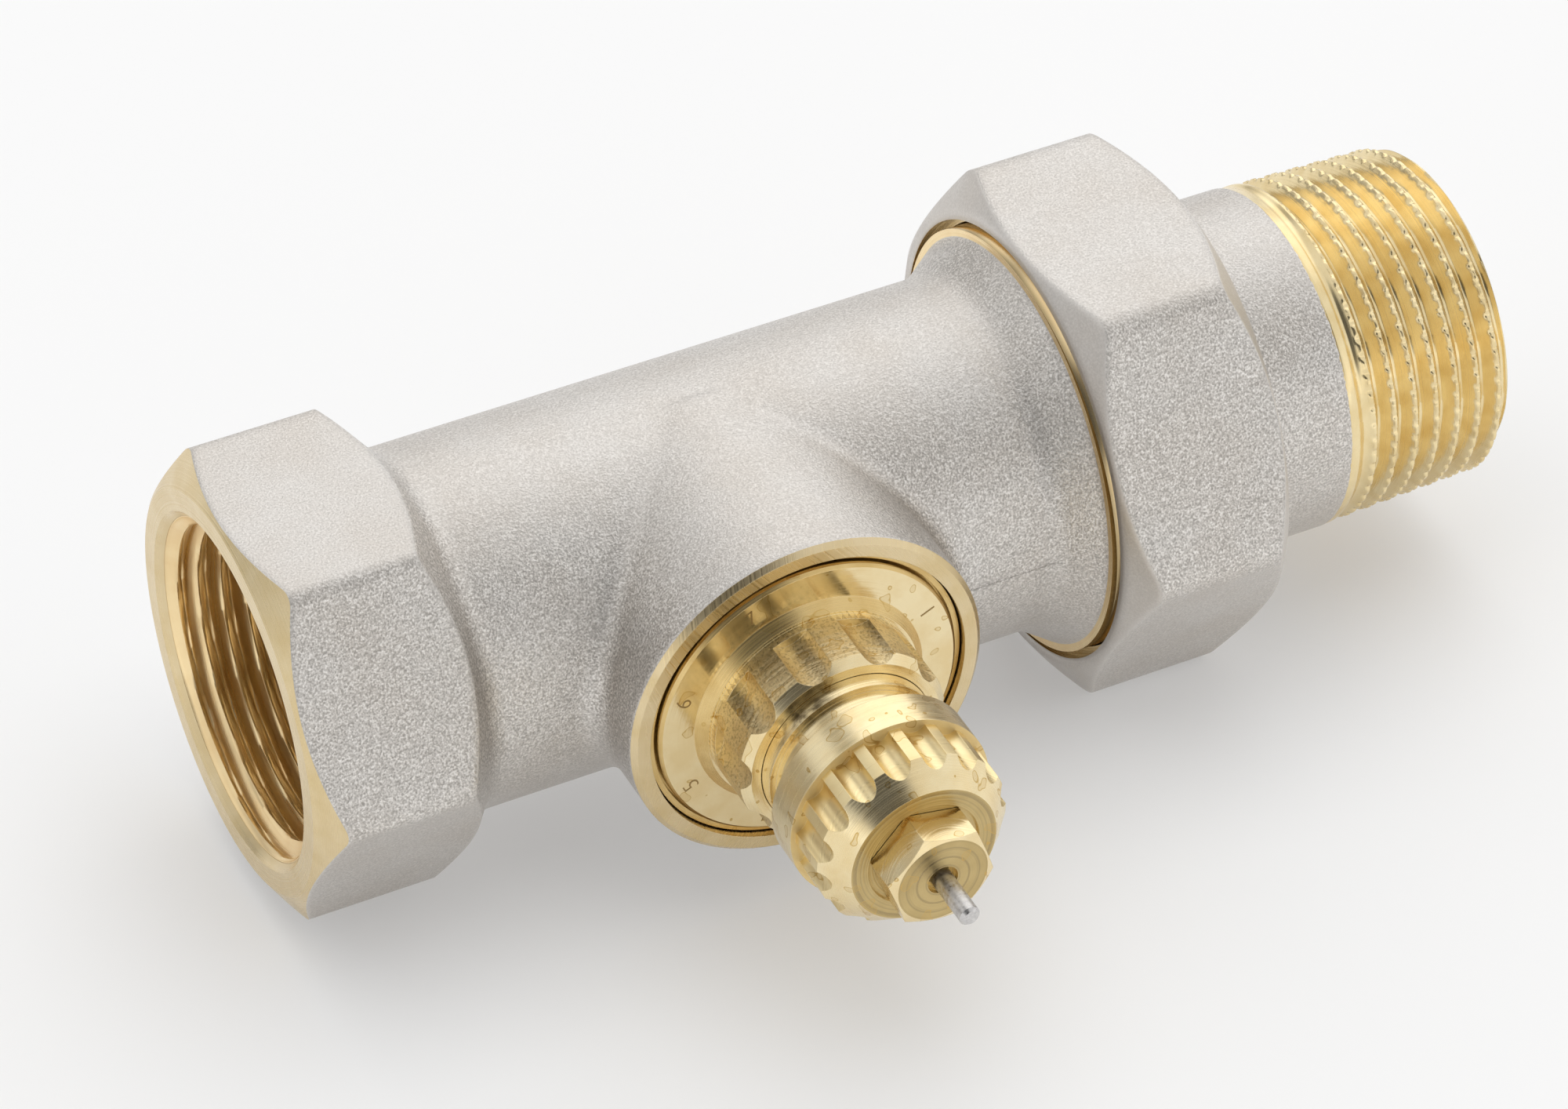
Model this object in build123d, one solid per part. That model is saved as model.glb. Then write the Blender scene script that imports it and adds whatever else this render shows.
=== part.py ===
from build123d import *
import os
from math import radians, tan

# Straight radiator valve body, one inch pipe size, with presetting insert and union tail.
# The origin is the middle of the inlet face. X follows the flow, the insert points along -Y.
# Insert heights, called t, are counted from the flow axis along -Y.

# Clearances
THREAD_GAP = 0.15
SLIP_GAP = 0.2
TURN_GAP = 0.08
PIN_GAP = 0.06
TOUCH_GAP = 0.05
FACE_GAP = 0.1

# Pipe size and the radii that follow from it
PIPE_R = 16.62  # major radius of the pipe threads at both ends
BARREL_OVER_PIPE = 0.88
BOSS_PROUD = 0.3
PASSAGE_UNDER_PIPE = 4.62
TAIL_OVER_PIPE = 0.38
UNION_OVER_PIPE = 4.33
BARREL_R = PIPE_R + BARREL_OVER_PIPE
BOSS_R = BARREL_R + BOSS_PROUD
PASSAGE_R = PIPE_R - PASSAGE_UNDER_PIPE
TAIL_R = PIPE_R + TAIL_OVER_PIPE
UNION_R = PIPE_R + UNION_OVER_PIPE  # major radius of the union thread

# Inlet hexagon
INLET_STEP = 2.5
INLET_CORNER = 2.0
INLET_LENGTH = 16.7
INLET_FACE_STEP = 0.5
FRONT_CHAMFER_ANGLE = 32.0
BACK_CHAMFER_ANGLE = 38.0
NECK_FILLET = 2.6
THREAD_DEPTH = 15.5
MOUTH_CHAMFER = 0.7
DRILL_POINT = 31.0
INLET_FLATS = 2 * (BARREL_R + INLET_STEP)
INLET_FACE_R = INLET_FLATS / 2 - INLET_FACE_STEP

# Lengths along the flow
HEXAGON_TO_INSERT = 30.5
INSERT_TO_SPIGOT = 33.1
SPIGOT_LENGTH = 9.7
SPIGOT_CHAMFER = 1.0
FLARE_LENGTH = 3.9
FLARE_FILLET = 4.0
COLLAR_STEP = 0.75
COLLAR_R = UNION_R - COLLAR_STEP
INSERT_X = INLET_LENGTH + HEXAGON_TO_INSERT
SPIGOT_X = INSERT_X + INSERT_TO_SPIGOT
BODY_END = SPIGOT_X + SPIGOT_LENGTH

# Radii in the insert, from the spindle outwards
SPINDLE_R = 2.6
SPRING_ROOM = 2.9
STEM_WALL = 3.05
STEM_BORE_R = SPINDLE_R + SPRING_ROOM
STEM_R = STEM_BORE_R + STEM_WALL

# Radii in the branch, from the rim inwards
RIM_WALL = 1.8
BUSH_SHOULDER = 2.5
BUSH_RIM = 0.55
CHAMBER_STEP = 1.5
SLEEVE_GAP = 0.7
SLEEVE_WALL = 1.1
HOLDER_GAP = 1.0
HOLDER_WALL = 0.5
DISC_OVERLAP = 1.1
RECESS_R = BOSS_R - RIM_WALL
BUSH_BORE_R = RECESS_R - BUSH_SHOULDER
CHAMBER_R = BUSH_BORE_R - CHAMBER_STEP
SLEEVE_R = CHAMBER_R - SLEEVE_GAP
SLEEVE_IN_R = SLEEVE_R - SLEEVE_WALL
HOLDER_R = SLEEVE_IN_R - HOLDER_GAP
DISC_R = HOLDER_R - HOLDER_WALL - TOUCH_GAP
SEAT_R = DISC_R - DISC_OVERLAP

# Partition and seat
SEAT_T = 1.5
PARTITION = 2.5
SEAT_LIP = 0.8
LIP_WIDTH = 1.2
PARTITION_WALL = 4.0
UNDER_SEAT_REACH = 10.0
FLOOR_STEP = 1.0

# Disc and its holder, above the seat by the stroke
STROKE = 2.4
DISC_THICKNESS = 2.6
HOLDER_PLATE = 1.0
HOLDER_SKIRT = 1.4
WASHER_WIDTH = 3.0
WASHER_THICKNESS = 0.6
DISC_NUT_WALL = 1.0
DISC_NUT_HEIGHT = 1.6
SPINDLE_TIP_STEP = 0.6
SPINDLE_TIP_R = SPINDLE_R - SPINDLE_TIP_STEP
LIP_T = SEAT_T + SEAT_LIP
DISC_T = LIP_T + STROKE + FACE_GAP
DISC_BACK_T = DISC_T + DISC_THICKNESS
HOLDER_T = DISC_BACK_T + HOLDER_PLATE

# Throttle sleeve, above the disc holder
GROOVE_LAND = 0.5
CLIP_THICKNESS = 0.8
CLIP_LIP = 0.6
SLEEVE_PLATE = 1.5
SLEEVE_LIFT = 0.4
SLEEVE_PORTS = 7
PORT_STEP = 45.0
PORT_R_MIN = 0.6
PORT_R_MAX = 2.4
SLEEVE_T = SEAT_T + SLEEVE_LIFT
STEM_END_T = HOLDER_T + SLIP_GAP
CLIP_T = STEM_END_T + GROOVE_LAND
PLATE_T = CLIP_T + CLIP_THICKNESS + TOUCH_GAP
STEM_T = PLATE_T + SLEEVE_PLATE + TOUCH_GAP

# Bush and branch rim, above the throttle sleeve
STEM_BELOW_BUSH = 0.4
BUSH_LENGTH = 8.6
BUSH_FLANGE = 1.9
BUSH_RIM_BELOW = 0.8
BUSH_RING_WIRE = 0.9
RECESS_DEPTH = 3.7
RIM_CHAMFER = 0.5
BRANCH_FILLET = 2.4
TEE_REACH = 1.5
BUSH_T = STEM_T + STEM_BELOW_BUSH
SHOULDER_T = BUSH_T - 2 * BUSH_RING_WIRE - FACE_GAP
RECESS_T = BUSH_T + BUSH_LENGTH
RIM_T = RECESS_T + RECESS_DEPTH

# Setting ring, its dial level with the branch rim
DIAL_CHAMFER = 0.3
RING_WALL = 1.85
RING_STEP = 0.3
BOSS_SLOPE = 0.9
BOSS_HEIGHT = 1.0
RING_HEIGHT = 6.6
RING_CHAMFER = 0.8
RING_FLUTES = 10
RING_FLUTE_PHASE = 34.2
RING_FLUTE_R = 2.5
RING_FLUTE_DEPTH = 0.9
RING_FLUTE_START = 0.8
DIAL_R = RECESS_R - THREAD_GAP - BUSH_RIM - SLIP_GAP
RING_R = STEM_R + RING_WALL
DIAL_T = RIM_T
BOSS_T = DIAL_T + BOSS_HEIGHT
RING_T = BOSS_T + RING_HEIGHT

# Insert barrel
SPIGOT_STEP = 1.55
NECK_STEP = 1.6
NECK_DEPTH = 0.65
NECK_LENGTH = 2.2
HEAD_PROUD = 1.4
HEAD_REAR_CHAMFER = 1.1
COLLAR_LENGTH = 3.8
FLUTED_LENGTH = 4.3
HEAD_FRONT_CHAMFER = 2.4
HEAD_FACE_STEP = 2.7
HEAD_FLUTES = 16
HEAD_FLUTE_PHASE = 9.5
HEAD_FLUTE_R = 1.4
HEAD_FLUTE_DEPTH = 0.9
HEAD_LAND_STEP = 0.5
SPIGOT_R = STEM_R - SPIGOT_STEP
NECK_R = STEM_R - NECK_DEPTH
HEAD_R = STEM_R + HEAD_PROUD
HEAD_LAND_R = HEAD_R - HEAD_LAND_STEP
HEAD_FACE_R = HEAD_R - HEAD_FACE_STEP
NECK_T = RING_T + NECK_STEP
COLLAR_T = NECK_T + NECK_LENGTH + HEAD_REAR_CHAMFER
FLUTES_T = COLLAR_T + COLLAR_LENGTH
CHAMFER_T = FLUTES_T + FLUTED_LENGTH
FACE_T = CHAMFER_T + HEAD_FRONT_CHAMFER

# Gland and pin
PIN_R = 1.0
PIN_LENGTH_OUT = 5.4
PIN_BEVEL = 0.3
PIN_FOOT_STEP = 0.7
PIN_FOOT = 0.85
PIN_FOOT_ROOM = 1.5
PIN_RING_WIRE = 0.82
GLAND_FLATS = 9.3
GLAND_HEIGHT = 3.7
GLAND_PHASE = -11.0
GLAND_MOUTH_GAP = 0.5
GLAND_MOUTH = 1.0
GLAND_CHAMFER = 0.45
GLAND_THREAD_STEP = 1.05
GLAND_RING_WIRE = 0.6
GLAND_RING_STEP = 0.8
GLAND_BORE_DEPTH = 8.2
GUIDE_THICKNESS = 1.3
POCKET_GAP = 0.15
POCKET_DEPTH = 0.3
GLAND_THREAD_R = GLAND_FLATS / 2 - GLAND_THREAD_STEP
GLAND_RELIEF_R = GLAND_THREAD_R - GLAND_RING_WIRE + TOUCH_GAP
GLAND_CORNER_R = GLAND_FLATS / 3**0.5
POCKET_R = GLAND_CORNER_R + POCKET_GAP
PIN_BORE_R = PIN_R + PIN_GAP
GLAND_T = FACE_T + GLAND_HEIGHT
PIN_T = GLAND_T + PIN_LENGTH_OUT
POCKET_T = FACE_T - POCKET_DEPTH
GUIDE_T = FACE_T - GLAND_BORE_DEPTH
GLAND_RELIEF_T = POCKET_T - 2 * GLAND_RING_WIRE - TOUCH_GAP
GLAND_FOOT_T = GUIDE_T + GUIDE_THICKNESS + FACE_GAP
SPINDLE_END_T = GUIDE_T - PIN_FOOT_ROOM

# Spindle and spring
STOP_DEPTH = 5.7
STOP_GAP = 0.4
SPINDLE_LAND = 1.0
SPINDLE_GROOVE = 0.5
SPINDLE_CLIP_WIDTH = 1.4
SPINDLE_CLIP = 0.65
CAP_THICKNESS = 1.5
SPRING_WIRE = 0.5
SPRING_TURNS = 6.0
SEAT_THICKNESS = 1.5
SEAT_CLIP = 0.9
SEAT_CLIP_DEPTH = 0.6
SEAT_CLIP_REACH = 1.0
STOP_R = SPINDLE_R + STOP_GAP
SPINDLE_GROOVE_R = SPINDLE_R - SPINDLE_GROOVE
SPRING_R = (STEM_BORE_R + SPINDLE_R) / 2
STOP_T = GUIDE_T - STOP_DEPTH
SPINDLE_CLIP_T = STOP_T - FACE_GAP - SPINDLE_CLIP
CAP_T = SPINDLE_CLIP_T - TOUCH_GAP - CAP_THICKNESS
SEAT_CLIP_T = STEM_T + GROOVE_LAND
SPRING_SEAT_T = SEAT_CLIP_T + SEAT_CLIP + TOUCH_GAP
SPRING_T = SPRING_SEAT_T + SEAT_THICKNESS + TOUCH_GAP

# Rubber ring in the stem
STEM_RING_WIRE = 0.78
STEM_RING_PLAY = 0.25
STEM_GROOVE_R = STEM_R - 2 * STEM_RING_WIRE + TURN_GAP - 2 * TOUCH_GAP
STEM_GROOVE_T = SPRING_T + GROOVE_LAND
STEM_GROOVE_WIDTH = 2 * STEM_RING_WIRE + STEM_RING_PLAY

# Union nut
NUT_STANDOFF = 0.4
NUT_LENGTH = 17.4
NUT_WALL = 1.9
NUT_CORNER = 3.0
NUT_MOUTH = 1.8
NUT_MOUTH_STEP = 0.65
NUT_FACE_STEP = 0.3
NUT_HOLE_GAP = 0.3
NUT_SHOULDER = 3.6
NUT_BORE_R = UNION_R + THREAD_GAP
NUT_MOUTH_R = NUT_BORE_R + NUT_MOUTH_STEP
UNION_FLATS = 2 * (NUT_BORE_R + NUT_WALL)
NUT_FACE_R = UNION_FLATS / 2 - NUT_FACE_STEP
NUT_HOLE_R = TAIL_R + NUT_HOLE_GAP
NUT_X = SPIGOT_X + NUT_STANDOFF
NUT_END = NUT_X + NUT_LENGTH

# Tailpiece
TAIL_BARREL = 10.1
TAIL_THREAD_LENGTH = 18.0
TAIL_BORE_STEP = 0.25
TAIL_RELIEF = 0.9
TAIL_RELIEF_DEPTH = 0.7
TAIL_END_CHAMFER = 1.1
CONE_ANGLE = 45.0
CONE_LENGTH = 2.4
CONE_LAND = 3.5
FLANGE_GAP = 1.8
TAIL_BORE_R = PASSAGE_R + TAIL_BORE_STEP
FLANGE_R = NUT_BORE_R - FLANGE_GAP
FLANGE_X = BODY_END + FACE_GAP
FLANGE_END = NUT_END - NUT_SHOULDER - FACE_GAP
TAIL_THREAD_X = NUT_END + TAIL_BARREL
TAIL_END = TAIL_THREAD_X + TAIL_THREAD_LENGTH

INSERT_AXIS = Axis((INSERT_X, 0, 0), (0, -1, 0))


def along_flow(*outline):
    """Solid turned about the flow axis from (x, radius) points."""
    return revolve(make_face(Polyline(*outline, close=True)), Axis.X)


def along_insert(*outline):
    """Solid turned about the insert axis from (radius, t) points."""
    points = [(INSERT_X + r, -t) for r, t in outline]
    return revolve(make_face(Polyline(*points, close=True)), INSERT_AXIS)


def flow_rod(radius, start, end):
    """Plain rod on the flow axis."""
    return along_flow((start, 0), (start, radius), (end, radius), (end, 0))


def insert_rod(radius, start, end):
    """Plain rod on the insert axis."""
    return along_insert((0, start), (radius, start), (radius, end), (0, end))


def insert_ring(inner, outer, start, end):
    """Plain ring on the insert axis."""
    return along_insert((inner, start), (outer, start), (outer, end), (inner, end))


def insert_plane(t):
    """Plane across the insert axis at height t, its x along X and its y along Z."""
    return Plane(origin=(INSERT_X, -t, 0), x_dir=(1, 0, 0), z_dir=(0, -1, 0))


def o_ring(radius, wire, t):
    """Round rubber ring on the insert axis."""
    return insert_plane(t) * Torus(radius, wire)


def hexagon(flats, corner):
    """Hexagon outline with rounded corners, one corner on its x axis."""
    outline = RegularPolygon(flats / 2, 6, major_radius=False)
    return fillet(outline.vertices(), corner)


def flow_hexagon(flats, corner, start, end):
    """Hexagon bar on the flow axis, with flats above and below."""
    return extrude(Plane.YZ.offset(start) * hexagon(flats, corner), end - start)


def edges_at(shape, radius, start, end):
    """Round edges about the flow axis with this radius between two places along X."""
    round_edges = shape.edges().filter_by(GeomType.CIRCLE)
    return [
        edge
        for edge in round_edges
        if abs(edge.radius - radius) < 0.01 and start < edge.arc_center.X < end
    ]


def half_space(start, end, t_from, t_to):
    """Block across the whole body between two places along X and two heights t."""
    size_x, size_y = end - start, t_to - t_from
    middle = Pos((start + end) / 2, -(t_from + t_to) / 2, 0)
    return middle * Box(size_x, size_y, 4 * BARREL_R)


def inlet_hexagon():
    """Inlet end with its turned front chamfer and sloping back."""
    corner_r = INLET_FLATS / 3**0.5
    front = (corner_r - INLET_FACE_R) * tan(radians(FRONT_CHAMFER_ANGLE))
    slope = tan(radians(BACK_CHAMFER_ANGLE))
    back_corner = INLET_LENGTH - (corner_r - INLET_FLATS / 2) * slope
    back_root = INLET_LENGTH + (INLET_FLATS / 2 - BARREL_R) * slope
    envelope = along_flow(
        (0, 0),
        (0, INLET_FACE_R),
        (front, corner_r),
        (back_corner, corner_r),
        (back_root, BARREL_R),
        (back_root, 0),
    )
    return flow_hexagon(INLET_FLATS, INLET_CORNER, 0, back_root) & envelope


def branch_tee(end):
    """Branch on its stretch of barrel, blended at the seams, up to the flow axis."""
    far = INSERT_X - TEE_REACH * BOSS_R
    boss = along_insert(
        (0, -RIM_T),
        (BOSS_R, -RIM_T),
        (BOSS_R, RIM_T - RIM_CHAMFER),
        (BOSS_R - RIM_CHAMFER, RIM_T),
        (0, RIM_T),
    )
    tee = flow_rod(BARREL_R, far, end) + boss
    flat_or_round = (GeomType.CIRCLE, GeomType.LINE)
    seams = [edge for edge in tee.edges() if edge.geom_type not in flat_or_round]
    return fillet(seams, BRANCH_FILLET) & half_space(far, end, 0, RIM_T)


def forging():
    """Outside of the body: hexagon, barrel, flare, spigot and branch, blended."""
    flare_start = SPIGOT_X - FLARE_LENGTH
    flare = along_flow(
        (flare_start, 0),
        (flare_start, BARREL_R),
        (SPIGOT_X, COLLAR_R),
        (SPIGOT_X, 0),
    )
    line = inlet_hexagon() + flow_rod(BARREL_R, INLET_LENGTH, SPIGOT_X) + flare
    line = fillet(edges_at(line, BARREL_R, INLET_LENGTH, INSERT_X), NECK_FILLET)
    line = fillet(edges_at(line, BARREL_R, INSERT_X, SPIGOT_X), FLARE_FILLET)
    body = line + branch_tee(flare_start)
    spigot = along_flow(
        (SPIGOT_X, 0),
        (SPIGOT_X, UNION_R),
        (BODY_END - SPIGOT_CHAMFER, UNION_R),
        (BODY_END, UNION_R - SPIGOT_CHAMFER),
        (BODY_END, 0),
    )
    return body + spigot


def waterway():
    """Space inside the body: both ports, the partition's two sides, seat and branch bore."""
    point = (PIPE_R - PASSAGE_R) * tan(radians(DRILL_POINT))
    inlet_end = INSERT_X - CHAMBER_R - PARTITION_WALL
    outlet_start = INSERT_X + UNDER_SEAT_REACH + PARTITION_WALL
    inlet = along_flow(
        (0, 0),
        (0, PIPE_R + MOUTH_CHAMFER),
        (MOUTH_CHAMFER, PIPE_R),
        (THREAD_DEPTH, PIPE_R),
        (THREAD_DEPTH + point, PASSAGE_R),
        (inlet_end, PASSAGE_R),
        (inlet_end, 0),
    )
    cone = CONE_LENGTH * tan(radians(CONE_ANGLE))
    mouth_r = PASSAGE_R + CONE_LAND
    outlet = along_flow(
        (outlet_start, 0),
        (outlet_start, PASSAGE_R),
        (BODY_END - CONE_LENGTH, PASSAGE_R),
        (BODY_END - CONE_LENGTH, mouth_r - cone),
        (BODY_END, mouth_r),
        (BODY_END, 0),
    )
    under_t = SEAT_T - PARTITION
    under = flow_rod(PASSAGE_R, inlet_end, INSERT_X + UNDER_SEAT_REACH)
    under &= half_space(inlet_end, INSERT_X + UNDER_SEAT_REACH, -BARREL_R, under_t)
    over = flow_rod(PASSAGE_R, INSERT_X, outlet_start)
    over &= half_space(INSERT_X, outlet_start, SEAT_T + FLOOR_STEP, BARREL_R)
    branch = along_insert(
        (0, SEAT_T),
        (CHAMBER_R, SEAT_T),
        (CHAMBER_R, SHOULDER_T),
        (BUSH_BORE_R, SHOULDER_T),
        (BUSH_BORE_R, RECESS_T),
        (RECESS_R, RECESS_T),
        (RECESS_R, RIM_T),
        (0, RIM_T),
    )
    seat = insert_rod(SEAT_R, under_t, SEAT_T)
    return inlet + outlet + under + over + branch + seat


def valve_body():
    lip = insert_ring(SEAT_R, SEAT_R + LIP_WIDTH, SEAT_T, LIP_T)
    return forging() - waterway() + lip


def union_nut():
    corner_r = UNION_FLATS / 3**0.5
    front = (corner_r - NUT_FACE_R) * tan(radians(FRONT_CHAMFER_ANGLE))
    back = (corner_r - NUT_FACE_R) * tan(radians(BACK_CHAMFER_ANGLE))
    shoulder_x = NUT_END - NUT_SHOULDER
    envelope = along_flow(
        (NUT_X, 0),
        (NUT_X, NUT_FACE_R),
        (NUT_X + front, corner_r),
        (NUT_END - back, corner_r),
        (NUT_END, NUT_FACE_R),
        (NUT_END, 0),
    )
    inside = along_flow(
        (NUT_X, 0),
        (NUT_X, NUT_MOUTH_R),
        (NUT_X + NUT_MOUTH, NUT_MOUTH_R),
        (NUT_X + NUT_MOUTH, NUT_BORE_R),
        (shoulder_x, NUT_BORE_R),
        (shoulder_x, NUT_HOLE_R),
        (NUT_END, NUT_HOLE_R),
        (NUT_END, 0),
    )
    return (flow_hexagon(UNION_FLATS, NUT_CORNER, NUT_X, NUT_END) & envelope) - inside


def tailpiece():
    cone = CONE_LENGTH * tan(radians(CONE_ANGLE))
    nose_r = PASSAGE_R + CONE_LAND - FACE_GAP
    nose_x = FLANGE_X - CONE_LENGTH + 2 * FACE_GAP
    relief_end = TAIL_THREAD_X + TAIL_RELIEF
    return along_flow(
        (nose_x, TAIL_BORE_R),
        (nose_x, nose_r - cone + 2 * FACE_GAP),
        (FLANGE_X, nose_r),
        (FLANGE_X, FLANGE_R),
        (FLANGE_END, FLANGE_R),
        (FLANGE_END, TAIL_R),
        (TAIL_THREAD_X, TAIL_R),
        (TAIL_THREAD_X, TAIL_R - TAIL_RELIEF_DEPTH),
        (relief_end, TAIL_R - TAIL_RELIEF_DEPTH),
        (relief_end, PIPE_R),
        (TAIL_END - TAIL_END_CHAMFER, PIPE_R),
        (TAIL_END, PIPE_R - TAIL_END_CHAMFER),
        (TAIL_END, TAIL_BORE_R),
    )


def insert_bush():
    thread_r = BUSH_BORE_R - THREAD_GAP
    flange_r = RECESS_R - THREAD_GAP
    flange_t = RECESS_T + BUSH_FLANGE
    return along_insert(
        (STEM_R + TURN_GAP, BUSH_T),
        (thread_r, BUSH_T),
        (thread_r, RECESS_T),
        (flange_r, RECESS_T),
        (flange_r, RIM_T - BUSH_RIM_BELOW),
        (flange_r - BUSH_RIM, RIM_T - BUSH_RIM_BELOW),
        (flange_r - BUSH_RIM, flange_t),
        (STEM_R + TURN_GAP, flange_t),
    )


def flutes(count, phase, carrier_r, cutter_r, depth, start, end):
    """Round grooves along the insert axis, spread evenly over a carrier."""
    places = PolarLocations(carrier_r - depth + cutter_r, count, start_angle=phase)
    outline = Sketch() + places * Circle(cutter_r)
    return extrude(insert_plane(start) * outline, end - start)


def setting_ring():
    bore_r = STEM_R + TOUCH_GAP
    under_t = RECESS_T + BUSH_FLANGE + FACE_GAP
    ring = along_insert(
        (bore_r, under_t),
        (DIAL_R, under_t),
        (DIAL_R, DIAL_T - DIAL_CHAMFER),
        (DIAL_R - DIAL_CHAMFER, DIAL_T),
        (RING_R + RING_STEP + BOSS_SLOPE, DIAL_T),
        (RING_R + RING_STEP, BOSS_T),
        (RING_R, BOSS_T),
        (RING_R, RING_T - RING_CHAMFER),
        (RING_R - RING_CHAMFER, RING_T),
        (bore_r, RING_T),
    )
    start = BOSS_T + RING_FLUTE_START
    return ring - flutes(
        RING_FLUTES, RING_FLUTE_PHASE, RING_R, RING_FLUTE_R, RING_FLUTE_DEPTH, start, RING_T
    )


def insert_barrel():
    clip_groove_r = SPIGOT_R - CLIP_LIP
    bore = along_insert(
        (0, STEM_END_T),
        (STEM_BORE_R, STEM_END_T),
        (STEM_BORE_R, STOP_T),
        (STOP_R, STOP_T),
        (STOP_R, GUIDE_T),
        (GLAND_THREAD_R + THREAD_GAP, GUIDE_T),
        (GLAND_THREAD_R + THREAD_GAP, GLAND_RELIEF_T),
        (GLAND_THREAD_R + GLAND_RING_STEP, GLAND_RELIEF_T),
        (GLAND_THREAD_R + GLAND_RING_STEP, POCKET_T),
        (POCKET_R, POCKET_T),
        (POCKET_R, FACE_T),
        (0, FACE_T),
    )
    outside = along_insert(
        (0, STEM_END_T),
        (SPIGOT_R, STEM_END_T),
        (SPIGOT_R, CLIP_T),
        (clip_groove_r, CLIP_T),
        (clip_groove_r, PLATE_T),
        (SPIGOT_R, PLATE_T),
        (SPIGOT_R, STEM_T),
        (STEM_R, STEM_T),
        (STEM_R, STEM_GROOVE_T),
        (STEM_GROOVE_R, STEM_GROOVE_T),
        (STEM_GROOVE_R, STEM_GROOVE_T + STEM_GROOVE_WIDTH),
        (STEM_R, STEM_GROOVE_T + STEM_GROOVE_WIDTH),
        (STEM_R, NECK_T),
        (NECK_R, NECK_T),
        (NECK_R, NECK_T + NECK_LENGTH),
        (STEM_R, NECK_T + NECK_LENGTH),
        (HEAD_R, COLLAR_T),
        (HEAD_R, FLUTES_T),
        (HEAD_LAND_R, FLUTES_T),
        (HEAD_LAND_R, CHAMFER_T),
        (HEAD_FACE_R, FACE_T),
        (0, FACE_T),
    )
    seat_clip_groove = insert_rod(
        STEM_BORE_R + SEAT_CLIP_DEPTH,
        SEAT_CLIP_T - TOUCH_GAP,
        SEAT_CLIP_T + SEAT_CLIP + TOUCH_GAP,
    )
    grooves = flutes(
        HEAD_FLUTES,
        HEAD_FLUTE_PHASE,
        HEAD_LAND_R,
        HEAD_FLUTE_R,
        HEAD_FLUTE_DEPTH,
        FLUTES_T,
        FACE_T,
    )
    return outside - bore - seat_clip_groove - grooves


def throttle_sleeve():
    top_t = STEM_T - TOUCH_GAP
    sleeve = along_insert(
        (SLEEVE_IN_R, SLEEVE_T),
        (SLEEVE_R, SLEEVE_T),
        (SLEEVE_R, top_t),
        (SPIGOT_R + TOUCH_GAP, top_t),
        (SPIGOT_R + TOUCH_GAP, PLATE_T + TOUCH_GAP),
        (SLEEVE_IN_R, PLATE_T + TOUCH_GAP),
    )
    middle_t = (SLEEVE_T + PLATE_T) / 2
    for number in range(SLEEVE_PORTS):
        share = number / (SLEEVE_PORTS - 1)
        port_r = PORT_R_MIN + (PORT_R_MAX - PORT_R_MIN) * share
        across = Plane(origin=(INSERT_X, -middle_t, 0), z_dir=(1, 0, 0))
        port = extrude(across * Circle(port_r), 2 * SLEEVE_R)
        sleeve -= port.rotate(INSERT_AXIS, number * PORT_STEP)
    return sleeve


def throttle_clip():
    inner = SPIGOT_R - CLIP_LIP + TOUCH_GAP
    return insert_ring(inner, SPIGOT_R + CLIP_LIP, CLIP_T + TOUCH_GAP, PLATE_T)


def gland_nut():
    mouth_r = PIN_R + GLAND_MOUTH_GAP
    ring_pocket_r = PIN_BORE_R + 2 * PIN_RING_WIRE + FACE_GAP
    pocket_top_t = GLAND_FOOT_T + 2 * PIN_RING_WIRE + FACE_GAP
    base_t = POCKET_T + TOUCH_GAP
    outline = Rot(0, 0, GLAND_PHASE) * RegularPolygon(GLAND_FLATS / 2, 6, major_radius=False)
    hexagon_bar = extrude(insert_plane(base_t) * outline, GLAND_T - base_t)
    envelope = along_insert(
        (0, base_t),
        (GLAND_CORNER_R, base_t),
        (GLAND_CORNER_R, GLAND_T - GLAND_CHAMFER),
        (GLAND_CORNER_R - 2 * GLAND_CHAMFER, GLAND_T),
        (0, GLAND_T),
    )
    shank = along_insert(
        (0, GLAND_FOOT_T),
        (GLAND_THREAD_R, GLAND_FOOT_T),
        (GLAND_THREAD_R, GLAND_RELIEF_T),
        (GLAND_RELIEF_R, GLAND_RELIEF_T),
        (GLAND_RELIEF_R, base_t),
        (0, base_t),
    )
    hole = along_insert(
        (0, GLAND_FOOT_T),
        (PIN_BORE_R, GLAND_FOOT_T),
        (PIN_BORE_R, GLAND_T - GLAND_MOUTH),
        (mouth_r, GLAND_T - GLAND_MOUTH),
        (mouth_r, GLAND_T),
        (0, GLAND_T),
    )
    ring_pocket = insert_rod(ring_pocket_r, GLAND_FOOT_T, pocket_top_t)
    return (hexagon_bar & envelope) + shank - hole - ring_pocket


def pin_o_ring():
    middle_t = GLAND_FOOT_T + PIN_RING_WIRE + TOUCH_GAP
    return o_ring(PIN_BORE_R + PIN_RING_WIRE, PIN_RING_WIRE, middle_t)


def gland_outer_o_ring():
    middle_t = GLAND_RELIEF_T + GLAND_RING_WIRE + TOUCH_GAP / 2
    return o_ring(GLAND_RELIEF_R + GLAND_RING_WIRE + TOUCH_GAP, GLAND_RING_WIRE, middle_t)


def pin_guide():
    top_t = GUIDE_T + GUIDE_THICKNESS
    return insert_ring(PIN_BORE_R, GLAND_THREAD_R, GUIDE_T + TOUCH_GAP, top_t)


def pressure_pin():
    foot_t = SPINDLE_END_T + TOUCH_GAP
    foot_r = PIN_R + PIN_FOOT_STEP
    return along_insert(
        (0, foot_t),
        (foot_r, foot_t),
        (foot_r, foot_t + PIN_FOOT),
        (PIN_R, foot_t + PIN_FOOT),
        (PIN_R, PIN_T - PIN_BEVEL),
        (PIN_R - PIN_BEVEL, PIN_T),
        (0, PIN_T),
    )


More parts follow.
